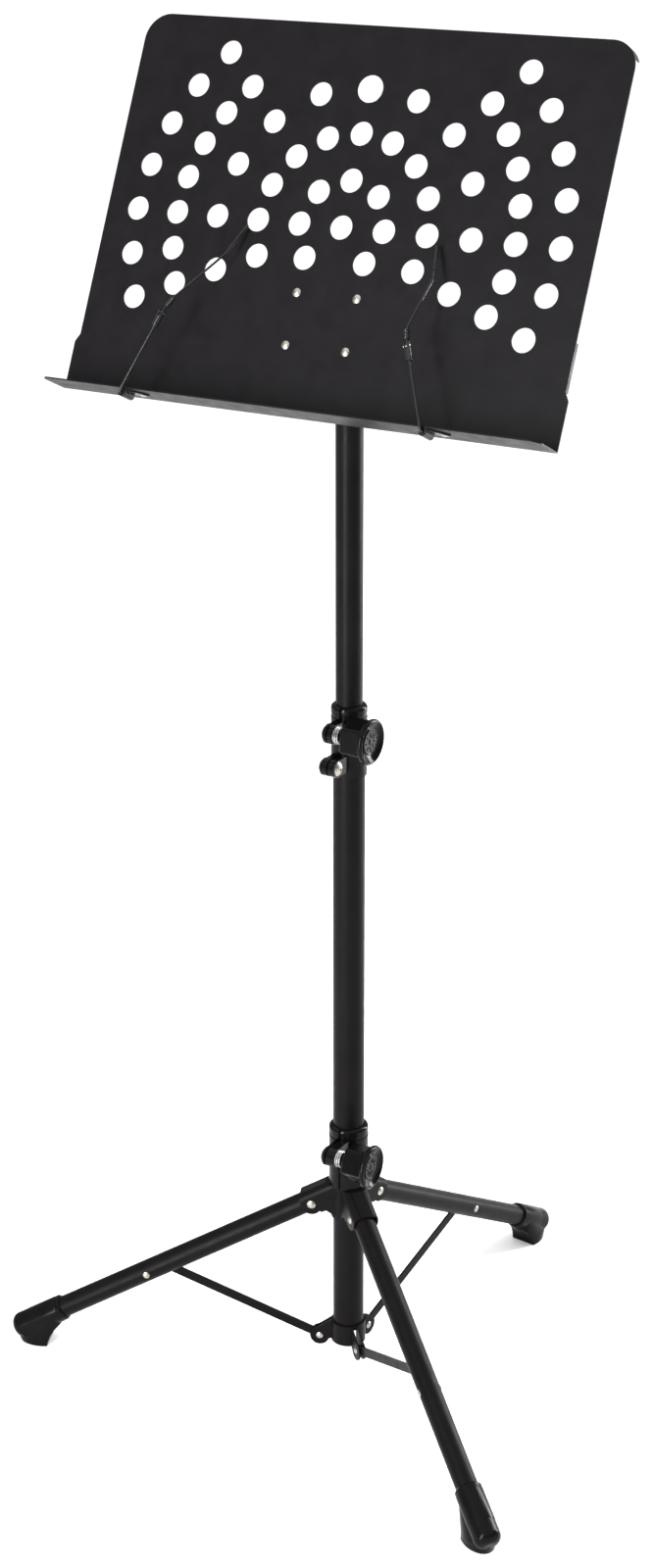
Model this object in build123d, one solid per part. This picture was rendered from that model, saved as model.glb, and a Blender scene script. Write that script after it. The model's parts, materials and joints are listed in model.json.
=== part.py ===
from build123d import *
from math import cos, radians, sin
import os

# Music stand with a perforated desk on a telescopic pole and a folding tripod.
# Millimetres, +Z up.  The origin is the point of the floor under the pole.
# The desk faces -Y and its width runs along X.

# --- driving dimensions ---------------------------------------------------

RUN_GAP = 0.06            # radial clearance of a turning or sliding fit

# Pole
LOWER_RADIUS = 15.0
UPPER_RADIUS = 12.5
TUBE_WALL = 1.2
LOWER_BOTTOM = 46.5
LOWER_TOP = 663.0
UPPER_BOTTOM = 400.0
UPPER_TOP = 1040.0
GUIDE_LENGTH = 30.0
BEAD_RADIUS = 13.2
PLUG_LENGTH = 12.0

# Tripod linkage, drawn in the plane of one leg: r outward, z up
LEG_COUNT = 3
FIRST_LEG_AZIMUTH = -39.0
LEG_DROP = 29.54          # slope of an open leg below the horizontal, degrees
LEG_RADIUS = 10.7
LEG_PIVOT_R = 35.0
LEG_PIVOT_Z = 184.5
LEG_LENGTH = 345.0        # pivot to the tube's outer end
BRACE_PIN_REACH = 192.2   # leg pivot to brace pin, along the leg
RING_PIN_R = 28.5
RING_PIN_Z = 32.0
FOLD_ANGLE = 54.0         # travel of a leg from open to folded, degrees

# Hub
HUB_SLEEVE_RADIUS = 17.0
HUB_BOTTOM = 170.0
HUB_TOP = 206.0
SHEET = 1.5
BRACKET_INNER = 11.3      # half width inside a leg bracket, and height of its web over the leg axis
SHOULDER_RADIUS = 7.5     # outer corner of a bracket's inverted U
LEG_END_RADIUS = 8.6      # rounding of a leg's inner end, so that it turns clear of the shoulders
BRACKET_ROOT = 9.0        # the brackets' cheeks start here, inside the sleeve's wall
LOBE_RADIUS = 10.5
PIVOT_RIVET_RADIUS = 2.5

# Braces and the ring at the foot of the pole
BRACE_THICKNESS = 2.0
BRACE_WIDTH = 9.0
BRACE_EYE_RADIUS = 5.2
BRACE_PIN_RADIUS = 2.0
BRACE_KNEE_BACK = 23.6    # knee of the brace, measured from its pin in the leg's own directions
BRACE_KNEE_DOWN = 6.7
SLOT_BACK = 40.0
SLOT_FRONT = 16.0
SLOT_WIDTH = 3.2
RING_RADIUS = 17.0
RING_BOTTOM = 30.0
RING_TOP = 52.0
FORK_GAP = 4.2
FORK_CHEEK = 1.7
FORK_LOBE_RADIUS = 9.6

# Feet
BOOT_RADIUS = 13.1
BOOT_START = 292.6
BOOT_END = 351.5
ANKLE_ALONG = 303.0       # where the flare of the sole leaves the boot
ANKLE_RADIUS = 12.6
SOLE_HEEL_R = 291.0
SOLE_TOE_R = 336.0
SOLE_HALF_WIDTH = 14.5
BULGE_HEIGHT = 8.0
HEEL_CURVE_RADIUS = 34.0   # hollow behind the sole, centred at this distance out and height
HEEL_CURVE_R = 272.5
HEEL_CURVE_Z = -4.0

# Split clamps: the bolt runs across the front of the pole, the knob on its right.
# A clamp's own X is its bolt's direction; distances along it start at the pole axis.
BOLT_RADIUS = 3.0
SPLIT_WIDTH = 1.5
SPLIT_X = 0.5
EAR_RADIUS = 9.3
EAR_CHAMFER = 2.4
WASHER_COUNT = 3
WASHER_PITCH = 2.1
WASHER_THICKNESS = 1.9
WASHER_RADIUS = 8.3
NUT_ACROSS_FLATS = 10.0
NUT_DEPTH = 3.4
LIP_FILLET = 3.6
NECK_DEPTH = 0.7
NECK_WIDTH = 3.5
LIP_HEIGHT = 8.0
MID_CLAMP = {"turn": -2.2, "offset": 32.1, "z": 681.0, "left": -5.8, "right": 6.1}
HUB_CLAMP = {"turn": 0.0, "offset": 39.0, "z": 252.8, "left": -5.1, "right": 10.3}
MID_COLLAR_RADIUS = 16.9
MID_BOTTOM = 633.0
MID_TOP = 701.0
HUB_COLLAR_RADIUS = 19.2
HUB_COLLAR_TOP = 271.0

# Second ear of the middle collar, with the screw that holds it on the lower tube
SCREW_OFFSET = 32.0
SCREW_Z = 648.3
SCREW_LEFT = -9.5
SCREW_RIGHT = 8.3
SCREW_EAR_RADIUS = 8.3
SCREW_RADIUS = 2.0
SCREW_HEAD_RADIUS = 6.6
SCREW_HEAD_HEIGHT = 2.6
SCREW_NUT_ACROSS_FLATS = 7.0

# Clamp knobs: a boss on the bolt, a five-sided barrel and a round dished rim
KNOB_SIDES = 5
KNOB_CLEARANCE = 0.2
CLAMP_KNOB = {
    "boss_radius": 7.0, "boss": 6.0, "barrel_radius": 20.2, "barrel": 19.8, "rim_radius": 21.4, "rim": 6.4}
TILT_KNOB = {
    "boss_radius": 6.0, "boss": 3.0, "barrel_radius": 13.6, "barrel": 14.0, "rim_radius": 15.0, "rim": 5.0}
MID_KNOB_PHASE = 6.5      # a flat of the barrel faces the front, this many degrees up
HUB_KNOB_PHASE = 33.0

# Desk.  Its own directions: x right, y up the sheet, z out of the front face
TILT_PIVOT_Z = 1058.0
DESK_TILT = 25.5          # lean back from the vertical, degrees
DESK_STANDOFF = 47.5      # tilt pivot to the front face
PATTERN_UP = 64.1         # tilt pivot to the centre of the hole pattern, up the sheet
DESK_SHEET = 1.2
DESK_HALF_WIDTH = 238.0
DESK_FOOT_HALF_WIDTH = 242.0
DESK_TOP = 177.5
DESK_BOTTOM = -168.6
DESK_STEP_TOP = -118.0
DESK_STEP_BOTTOM = -125.0
DESK_CORNER_RADIUS = 24.0
TOP_FOLD_DEPTH = 11.0
TOP_FOLD_END = 163.0
SIDE_TAB_DEPTH = 5.0
SIDE_TAB_TOP = -76.0
LEDGE_DEPTH = 40.5
BEND_RADIUS = 2.4         # outside of the bend between desk and ledge
LEDGE_CORNER_RADIUS = 9.0
RING_PITCH = 41.32
HOLE_DIAMETER = 21.4
# hole rings about the pattern's centre: ring number -> angles in degrees
HOLE_RINGS = {
    0: [0],
    1: [45 * i for i in range(8) if i != 6],
    2: [22.5 * i for i in range(-1, 10)],
    3: [-22.5, 0, 22.5, 45, 67.5, 112.5, 135, 157.5, 180, 202.5],
    4: [11.25 * i for i in list(range(-2, 5)) + list(range(12, 19))],
    5: [11.25 * i for i in list(range(-2, 5)) + list(range(12, 19))],
}
BADGE_Y = 121.8
BADGE_RADIUS = 12.0
DESK_RIVET_X = 29.4
DESK_RIVET_YS = (-60.0, -106.4)
DESK_RIVET_RADIUS = 2.0
BRACKET_SHEET = 2.0
BRACKET_HALF_WIDTH = 40.0
BRACKET_TOP = -48.0
BRACKET_BOTTOM = -118.0
EAR_INNER_X = 17.0
TILT_EAR_RADIUS = 12.0
TILT_BARREL_RADIUS = 11.5
TILT_CAP_RADIUS = 14.8

# Page holders: a swinging rod in a clip under the ledge, and a sprung arm on its end
CLIP_Y = DESK_BOTTOM - 3.7
CLIP_SHEET = 1.5
CLIP_RIVET_RADIUS = 1.5
ROD_DEPTH = 43.5          # the rods stand this far in front of the desk's face
ROD_RADIUS = 1.2
ARM_RADIUS = 1.0
PAGE_HOLDERS = {
    # foot, elbow and tip in the desk's own directions: (x, y) and for the arm (x, y, z)
    "left": {"foot": (-156.5, CLIP_Y), "elbow": (-131.0, -100.0),
             "bend": (-97.5, -36.5, 16.0), "tip": (-89.5, -10.5, 6.0)},
    "right": {"foot": (137.5, CLIP_Y), "elbow": (109.0, -104.0),
              "bend": (106.0, -39.5, 17.0), "tip": (98.0, -12.5, 6.5)},
}


# --- general helpers --------------------------------------------------------

def tube(radius, bore, bottom, top):
    """Upright tube about the pole axis."""
    outside = Cylinder(radius, top - bottom, align=(Align.CENTER, Align.CENTER, Align.MIN))
    inside = Cylinder(bore, top - bottom + 2, align=(Align.CENTER, Align.CENTER, Align.MIN))
    return Pos(0, 0, bottom) * outside - Pos(0, 0, bottom - 1) * inside


def rod_between(start, end, radius):
    """Round bar from one point to another."""
    axis = Vector(*end) - Vector(*start)
    place = Plane(origin=start, z_dir=axis)
    return place * Cylinder(radius, axis.length, align=(Align.CENTER, Align.CENTER, Align.MIN))


def x_bar(radius, x_low, x_high, y, z):
    """Round bar along X."""
    return rod_between((x_low, y, z), (x_high, y, z), radius)


def cross_bar(radius, half_length, r, z):
    """Round bar square to a leg's plane (drawn for the leg on +X)."""
    return rod_between((r, -half_length, z), (r, half_length, z), radius)


def domed_head(radius, height):
    """Rivet head: a shallow dome standing on z = 0."""
    ball = (radius * radius + height * height) / (2 * height)
    return Pos(0, 0, height - ball) * Sphere(ball) & Pos(0, 0, height / 2) * Box(
        3 * radius, 3 * radius, height)


def leg_point(along, up, drop=LEG_DROP):
    """Point of the leg's plane, from its pivot: along the leg, and up square to it."""
    a = radians(drop)
    return (LEG_PIVOT_R + along * cos(a) + up * sin(a),
            LEG_PIVOT_Z - along * sin(a) + up * cos(a))


def leg_plane_face(points):
    """Polygon in the plane of the leg on +X, from (r, z) points."""
    return Plane.XZ * make_face(Polyline(*points, close=True))


def turned(shape, number):
    """A piece drawn for the leg on +X, turned to the place of leg 1, 2 or 3."""
    return shape.rotate(Axis.Z, FIRST_LEG_AZIMUTH + 360 / LEG_COUNT * (number - 1))


def on_each_leg(shape):
    return [turned(shape, number) for number in range(1, LEG_COUNT + 1)]


def clamp_place(shape, clamp):
    """A clamp piece drawn with its bolt along X, turned to its place on the pole."""
    return shape.rotate(Axis.Z, clamp["turn"])


def desk_plane():
    a = radians(DESK_TILT)
    normal = Vector(0, -cos(a), sin(a))
    up = Vector(0, sin(a), cos(a))
    origin = Vector(0, 0, TILT_PIVOT_Z) + normal * DESK_STANDOFF + up * PATTERN_UP
    return Plane(origin=origin, x_dir=(1, 0, 0), z_dir=normal)


def group(shapes):
    """Separate solids kept together in one node."""
    solids = []
    for shape in shapes:
        solids.extend(shape.solids())
    return Compound(children=solids)


# --- pole -------------------------------------------------------------------

def make_lower_tube():
    return tube(LOWER_RADIUS, LOWER_RADIUS - TUBE_WALL, LOWER_BOTTOM, LOWER_TOP)


def make_pole_plug():
    plug = Cylinder(LOWER_RADIUS - TUBE_WALL, PLUG_LENGTH, align=(Align.CENTER, Align.CENTER, Align.MIN))
    return Pos(0, 0, LOWER_BOTTOM) * plug


def make_upper_tube():
    body = tube(UPPER_RADIUS, UPPER_RADIUS - TUBE_WALL, UPPER_BOTTOM, UPPER_TOP)
    bead_z = UPPER_BOTTOM + GUIDE_LENGTH + 1.6
    bead = Pos(0, 0, bead_z) * Torus(UPPER_RADIUS - 0.3, BEAD_RADIUS - UPPER_RADIUS + 0.3)
    hollow = tube(UPPER_RADIUS - TUBE_WALL, 1.0, bead_z - 3, bead_z + 3)
    return body + (bead - hollow)


def make_guide_bush():
    outer = LOWER_RADIUS - TUBE_WALL - RUN_GAP
    bush = tube(outer, UPPER_RADIUS + RUN_GAP, UPPER_BOTTOM, UPPER_BOTTOM + GUIDE_LENGTH)
    relief = tube(outer + 1, outer - 0.5, UPPER_BOTTOM + 7, UPPER_BOTTOM + GUIDE_LENGTH - 7)
    return bush - relief


def make_upper_plug():
    inside = Cylinder(UPPER_RADIUS - TUBE_WALL, PLUG_LENGTH, align=(Align.CENTER, Align.CENTER, Align.MIN))
    flange = Cylinder(BEAD_RADIUS, 3, align=(Align.CENTER, Align.CENTER, Align.MAX))
    step = Cylinder(UPPER_RADIUS, 0.5, align=(Align.CENTER, Align.CENTER, Align.MAX))
    return Pos(0, 0, UPPER_BOTTOM) * (inside + step + Pos(0, 0, -0.5) * flange)


# --- split clamps -------------------------------------------------------------

def clamp_ear(radius, offset, z, x_low, x_high):
    """Ear that carries a bolt: a barrel across the front, blended back to the collar."""
    barrel = x_bar(radius, x_low, x_high, -offset, z)
    barrel = chamfer(barrel.edges().filter_by(GeomType.CIRCLE).sort_by(Axis.X)[0], EAR_CHAMFER)
    web_low = x_low + EAR_CHAMFER + 0.3
    web_back = LOWER_RADIUS - 5
    web = Pos((web_low + x_high) / 2, -(offset + web_back) / 2, z) * Box(
        x_high - web_low, offset - web_back, 2 * radius - 1)
    return barrel + web


def hex_bar(across_flats, x_low, x_high, y, z):
    face = Plane(origin=(x_low, y, z), z_dir=(1, 0, 0)) * RegularPolygon(
        across_flats / 2, 6, major_radius=False)
    return extrude(face, x_high - x_low)


def bolt_cuts(clamp):
    """The saw cut, the bolt hole and the nut's recess of one clamp."""
    y, z = -clamp["offset"], clamp["z"]
    hole = x_bar(BOLT_RADIUS, clamp["left"] - 1, clamp["right"] + 1, y, z)
    recess = hex_bar(NUT_ACROSS_FLATS + 0.2, clamp["left"] - 1, clamp["left"] + NUT_DEPTH, y, z)
    return hole + recess


def split_cut(reach, bottom, top):
    """The saw cut that lets a collar close."""
    return Pos(SPLIT_X, -reach, (bottom + top) / 2) * Box(SPLIT_WIDTH, 2 * reach, top - bottom + 2)


def collar_body(radius, bottom, top):
    """Upright collar with a rounded top lip and a shallow neck under it."""
    body = Pos(0, 0, bottom) * Cylinder(radius, top - bottom, align=(Align.CENTER, Align.CENTER, Align.MIN))
    body = fillet(body.edges().group_by(Axis.Z)[-1], LIP_FILLET)
    neck_top = top - LIP_HEIGHT
    return body - tube(radius + 1, radius - NECK_DEPTH, neck_top - NECK_WIDTH, neck_top)


def make_hub_collar():
    body = collar_body(HUB_COLLAR_RADIUS, HUB_TOP, HUB_COLLAR_TOP)
    ear = clamp_ear(EAR_RADIUS, HUB_CLAMP["offset"], HUB_CLAMP["z"], HUB_CLAMP["left"], HUB_CLAMP["right"])
    body = body + ear
    bore = Pos(0, 0, HUB_TOP - 1) * Cylinder(
        LOWER_RADIUS + RUN_GAP, HUB_COLLAR_TOP - HUB_TOP + 2, align=(Align.CENTER, Align.CENTER, Align.MIN))
    body = body - bore - split_cut(HUB_CLAMP["offset"], HUB_TOP, HUB_COLLAR_TOP)
    return clamp_place(body - bolt_cuts(HUB_CLAMP), HUB_CLAMP)


def make_mid_collar():
    body = collar_body(MID_COLLAR_RADIUS, MID_BOTTOM, MID_TOP)
    ear = clamp_ear(EAR_RADIUS, MID_CLAMP["offset"], MID_CLAMP["z"], MID_CLAMP["left"], MID_CLAMP["right"])
    screw_ear = clamp_ear(SCREW_EAR_RADIUS, SCREW_OFFSET, SCREW_Z, SCREW_LEFT, SCREW_RIGHT)
    body = body + ear + screw_ear
    body = body - Pos(0, 0, MID_BOTTOM - 1) * Cylinder(
        LOWER_RADIUS, LOWER_TOP - MID_BOTTOM + 1, align=(Align.CENTER, Align.CENTER, Align.MIN))
    body = body - Pos(0, 0, LOWER_TOP - 1) * Cylinder(
        UPPER_RADIUS + RUN_GAP, MID_TOP - LOWER_TOP + 2, align=(Align.CENTER, Align.CENTER, Align.MIN))
    body = body - split_cut(MID_CLAMP["offset"], MID_BOTTOM, MID_TOP) - bolt_cuts(MID_CLAMP)
    body = body - x_bar(SCREW_RADIUS, SCREW_LEFT - 1, SCREW_RIGHT + 1, -SCREW_OFFSET, SCREW_Z)
    body = body - hex_bar(SCREW_NUT_ACROSS_FLATS + 0.2, SCREW_LEFT - 1, SCREW_LEFT + 3, -SCREW_OFFSET, SCREW_Z)
    return clamp_place(body, MID_CLAMP)


def washer_stack(offset, z, x_low, count):
    """Washers side by side on a bolt along X."""
    washers = []
    for i in range(count):
        x = x_low + i * WASHER_PITCH
        disc = x_bar(WASHER_RADIUS, x, x + WASHER_THICKNESS, -offset, z)
        disc = chamfer(disc.edges().filter_by(GeomType.CIRCLE), 0.4)
        washers.append(disc - x_bar(BOLT_RADIUS, x - 1, x + 3, -offset, z))
    return washers


def knob_start(clamp):
    return clamp["right"] + WASHER_COUNT * WASHER_PITCH + KNOB_CLEARANCE


def make_clamp_bolt(clamp):
    reach = knob_start(clamp) + CLAMP_KNOB["boss"] + CLAMP_KNOB["barrel"] / 2
    return clamp_place(x_bar(BOLT_RADIUS, clamp["left"] - 1.5, reach, -clamp["offset"], clamp["z"]), clamp)


def make_clamp_nut(clamp):
    y, z = -clamp["offset"], clamp["z"]
    nut = hex_bar(NUT_ACROSS_FLATS, clamp["left"] - 0.2, clamp["left"] + NUT_DEPTH, y, z)
    return clamp_place(nut - x_bar(BOLT_RADIUS, clamp["left"] - 2, clamp["left"] + NUT_DEPTH + 1, y, z), clamp)


def make_clamp_washers(clamp):
    stack = washer_stack(clamp["offset"], clamp["z"], clamp["right"], WASHER_COUNT)
    return group([clamp_place(washer, clamp) for washer in stack])


def knob(x_start, y, z, size, phase):
    """Clamp knob along X: boss, five-sided barrel, and a round rim with a dished face."""
    place = Plane(origin=(x_start, y, z), x_dir=(0, -1, 0), z_dir=(1, 0, 0))
    flat = 180 / KNOB_SIDES
    section = RegularPolygon(size["barrel_radius"], KNOB_SIDES, rotation=flat - phase)
    section = fillet(section.vertices(), size["barrel_radius"] * 0.08)
    barrel = Pos(0, 0, size["boss"]) * extrude(section, size["barrel"])
    barrel = chamfer(barrel.edges().group_by(Axis.Z)[0], 0.8)
    boss = Cylinder(size["boss_radius"], size["boss"] + 1, align=(Align.CENTER, Align.CENTER, Align.MIN))
    rim_start = size["boss"] + size["barrel"]
    face = rim_start + size["rim"]
    rim = Pos(0, 0, rim_start) * Cylinder(
        size["rim_radius"], size["rim"], align=(Align.CENTER, Align.CENTER, Align.MIN))
    rim = fillet(rim.edges().group_by(Axis.Z)[-1], 2.0)
    rim = chamfer(rim.edges().group_by(Axis.Z)[0], 2.4)
    dish = Pos(0, 0, face - 1.2) * Cylinder(
        size["rim_radius"] - 2.8, 3, align=(Align.CENTER, Align.CENTER, Align.MIN))
    ring = Pos(0, 0, face - 1.3) * (
        Cylinder(size["rim_radius"] * 0.55, 0.8, align=(Align.CENTER, Align.CENTER, Align.MIN))
        - Cylinder(size["rim_radius"] * 0.44, 0.8, align=(Align.CENTER, Align.CENTER, Align.MIN)))
    bore = Pos(0, 0, -1) * Cylinder(
        BOLT_RADIUS + RUN_GAP, rim_start, align=(Align.CENTER, Align.CENTER, Align.MIN))
    return place * (boss + barrel + rim - dish + ring - bore)


def make_clamp_knob(clamp, phase):
    return clamp_place(knob(knob_start(clamp), -clamp["offset"], clamp["z"], CLAMP_KNOB, phase), clamp)


def make_collar_screw():
    shank = x_bar(SCREW_RADIUS, SCREW_LEFT - 1, SCREW_RIGHT, -SCREW_OFFSET, SCREW_Z)
    head = Plane(origin=(SCREW_RIGHT, -SCREW_OFFSET, SCREW_Z), z_dir=(1, 0, 0)) * domed_head(
        SCREW_HEAD_RADIUS, SCREW_HEAD_HEIGHT)
    slot_length = SCREW_HEAD_RADIUS * 0.95
    cross = Box(2.4, slot_length, 1.2) + Box(2.4, 1.2, slot_length)
    recess = Pos(SCREW_RIGHT + SCREW_HEAD_HEIGHT - 0.4, -SCREW_OFFSET, SCREW_Z) * cross
    return clamp_place(shank + head - recess, MID_CLAMP)


def make_collar_nut():
    nut = hex_bar(SCREW_NUT_ACROSS_FLATS, SCREW_LEFT - 0.4, SCREW_LEFT + 3, -SCREW_OFFSET, SCREW_Z)
    return clamp_place(
        nut - x_bar(SCREW_RADIUS, SCREW_LEFT - 2, SCREW_LEFT + 4, -SCREW_OFFSET, SCREW_Z), MID_CLAMP)


# --- tripod -------------------------------------------------------------------

def channel(half_width, height, corner, start, end):
    """Inverted-U bar over the leg, with rounded shoulders, between two distances along it."""
    drop = radians(LEG_DROP)
    r, z = leg_point(start, 0)
    place = Plane(origin=(r, 0, z), x_dir=(0, 1, 0), z_dir=(cos(drop), 0, -sin(drop)))
    depth = 60.0
    section = Pos(0, height - depth / 2) * Rectangle(2 * half_width, depth)
    section = fillet(section.vertices().group_by(Axis.Y)[-1], corner)
    return extrude(place * section, end - start)


def web_start(height, ceiling):
    """Distance along the leg where a line at this height over its axis comes down to the ceiling."""
    drop = radians(LEG_DROP)
    return (LEG_PIVOT_Z + height * cos(drop) - ceiling) / sin(drop)


def bracket_solid():
    """Outer form of one leg bracket: two cheeks and the web over the leg."""
    top = BRACKET_INNER + SHEET
    outline = leg_plane_face([
        (BRACKET_ROOT, HUB_TOP), leg_point(web_start(top, HUB_TOP), top), leg_point(7.5, top),
        leg_point(LOBE_RADIUS, 0), leg_point(0, -2), (25.0, 177.0),
        (20.2, 179.0), (BRACKET_ROOT, HUB_BOTTOM + 2)])
    r, z = leg_point(0, 0)
    cheek = extrude(outline, top, both=True) + cross_bar(LOBE_RADIUS, top, r, z)
    return cheek & channel(top, top, SHOULDER_RADIUS, -60, 40)


def bracket_hollow():
    """Room for the leg inside its bracket, open below and at the outer end."""
    ceiling = HUB_TOP - SHEET
    profile = leg_plane_face([
        (0, ceiling), leg_point(web_start(BRACKET_INNER, ceiling), BRACKET_INNER),
        leg_point(30, BRACKET_INNER), leg_point(30, -40), (0, HUB_BOTTOM - 20)])
    room = extrude(profile, BRACKET_INNER, both=True)
    return room & channel(BRACKET_INNER, BRACKET_INNER, SHOULDER_RADIUS - SHEET, -60, 40)


def make_hub_spider():
    shape = Pos(0, 0, HUB_BOTTOM) * Cylinder(
        HUB_SLEEVE_RADIUS, HUB_TOP - HUB_BOTTOM, align=(Align.CENTER, Align.CENTER, Align.MIN))
    bracket = bracket_solid()
    for number in range(1, LEG_COUNT + 1):
        shape = shape + turned(bracket, number)
    core = Pos(0, 0, HUB_BOTTOM - 30) * Cylinder(
        HUB_SLEEVE_RADIUS, 200, align=(Align.CENTER, Align.CENTER, Align.MIN))
    hollow = bracket_hollow() - core
    hole = cross_bar(PIVOT_RIVET_RADIUS, 30, LEG_PIVOT_R, LEG_PIVOT_Z)
    for number in range(1, LEG_COUNT + 1):
        shape = shape - turned(hollow, number) - turned(hole, number)
    bore = Pos(0, 0, HUB_BOTTOM - 30) * Cylinder(
        LOWER_RADIUS + RUN_GAP, 200, align=(Align.CENTER, Align.CENTER, Align.MIN))
    return shape - bore


def rivet_across(radius, half_grip, head_radius, head_height, r, z):
    """Rivet square to a leg's plane, with a domed head at both ends."""
    shank = cross_bar(radius, half_grip, r, z)
    head = domed_head(head_radius, head_height)
    near = Plane(origin=(r, -half_grip, z), z_dir=(0, -1, 0)) * head
    far = Plane(origin=(r, half_grip, z), z_dir=(0, 1, 0)) * head
    return shank + near + far


def make_hub_rivets():
    rivet = rivet_across(PIVOT_RIVET_RADIUS, BRACKET_INNER + SHEET, 4.2, 1.6, LEG_PIVOT_R, LEG_PIVOT_Z)
    return group(on_each_leg(rivet))


def leg_bar(radius, start, end):
    """Round bar on the leg's axis, between two distances from its pivot."""
    r0, z0 = leg_point(start, 0)
    r1, z1 = leg_point(end, 0)
    return rod_between((r0, 0, z0), (r1, 0, z1), radius)


def make_leg_tube():
    inner = LEG_RADIUS - TUBE_WALL
    body = leg_bar(LEG_RADIUS, 0, LEG_LENGTH)
    rounded_end = leg_bar(LEG_RADIUS, -LEG_END_RADIUS, 1) & cross_bar(
        LEG_END_RADIUS, LEG_RADIUS + 1, LEG_PIVOT_R, LEG_PIVOT_Z)
    body = body + rounded_end
    body = body - leg_bar(inner, -2 * LEG_END_RADIUS, LEG_LENGTH + 1)
    body = body - cross_bar(PIVOT_RIVET_RADIUS + RUN_GAP, 30, LEG_PIVOT_R, LEG_PIVOT_Z)
    pin_r, pin_z = leg_point(BRACE_PIN_REACH, 0)
    body = body - cross_bar(BRACE_PIN_RADIUS, 30, pin_r, pin_z)
    slot = leg_plane_face([
        leg_point(BRACE_PIN_REACH - SLOT_BACK, -3), leg_point(BRACE_PIN_REACH + SLOT_FRONT, -3),
        leg_point(BRACE_PIN_REACH + SLOT_FRONT, -20), leg_point(BRACE_PIN_REACH - SLOT_BACK, -20)])
    return body - extrude(slot, SLOT_WIDTH / 2, both=True)


def make_leg_pin():
    pin_r, pin_z = leg_point(BRACE_PIN_REACH, 0)
    return rivet_across(BRACE_PIN_RADIUS, LEG_RADIUS, 3.4, 1.2, pin_r, pin_z)


def oval(heel, toe, half_width):
    """Oval face square to a leg's plane, between a heel point and a toe point (r, z)."""
    middle = ((heel[0] + toe[0]) / 2, 0, (heel[1] + toe[1]) / 2)
    forward = Vector(toe[0] - heel[0], 0, toe[1] - heel[1])
    place = Plane(origin=middle, x_dir=forward, z_dir=forward.cross(Vector(0, 1, 0)))
    return place * Ellipse(forward.length / 2, half_width)


def make_leg_foot():
    """Moulded foot: a boot over the leg's end that flares down to a flat oval sole."""
    boot = leg_bar(BOOT_RADIUS, BOOT_START, BOOT_END)
    boot = fillet(boot.edges().filter_by(GeomType.CIRCLE).sort_by(Axis.X)[-1], 9.0)
    boot = chamfer(boot.edges().filter_by(GeomType.CIRCLE).sort_by(Axis.X)[0], 2.2, 1.4)
    sole = oval((SOLE_HEEL_R, 0), (SOLE_TOE_R, 0), SOLE_HALF_WIDTH)
    bulge = oval((SOLE_HEEL_R, BULGE_HEIGHT - 3), (SOLE_TOE_R + 4, BULGE_HEIGHT + 2), SOLE_HALF_WIDTH)
    ankle = oval(leg_point(ANKLE_ALONG, -ANKLE_RADIUS), leg_point(ANKLE_ALONG, ANKLE_RADIUS), ANKLE_RADIUS)
    foot = boot + loft([sole, bulge, ankle], ruled=True)
    foot = foot - Pos(SOLE_TOE_R, 0, -50) * Box(300, 100, 100)
    foot = foot - (cross_bar(HEEL_CURVE_RADIUS, 40, HEEL_CURVE_R, HEEL_CURVE_Z) - leg_bar(
        BOOT_RADIUS, BOOT_START, BOOT_END))
    return foot - leg_bar(LEG_RADIUS, BOOT_START - 5, LEG_LENGTH)


def brace_knee():
    return leg_point(BRACE_PIN_REACH - BRACE_KNEE_BACK, -BRACE_KNEE_DOWN)


def flat_link(start, end, width):
    """In-plane outline of a straight stretch of brace, ends left square."""
    across = Vector(end[0] - start[0], end[1] - start[1])
    side = Vector(-across.Y, across.X).normalized() * (width / 2)
    return leg_plane_face([
        (start[0] + side.X, start[1] + side.Y), (end[0] + side.X, end[1] + side.Y),
        (end[0] - side.X, end[1] - side.Y), (start[0] - side.X, start[1] - side.Y)])


def make_brace():
    """Flat bar from the ring to the leg, with a knee where it goes in at the leg's slot."""
    half = BRACE_THICKNESS / 2
    pin = leg_point(BRACE_PIN_REACH, 0)
    ring = (RING_PIN_R, RING_PIN_Z)
    knee = brace_knee()
    bar = extrude(flat_link(ring, knee, BRACE_WIDTH), half, both=True)
    bar = bar + extrude(flat_link(knee, pin, BRACE_WIDTH), half, both=True)
    for point, radius in ((ring, BRACE_EYE_RADIUS), (knee, BRACE_WIDTH / 2), (pin, BRACE_EYE_RADIUS)):
        bar = bar + cross_bar(radius, half, *point)
    bar = bar - cross_bar(BRACE_PIN_RADIUS + RUN_GAP, 5, *pin)
    return bar - cross_bar(BRACE_PIN_RADIUS, 5, *ring)


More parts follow.
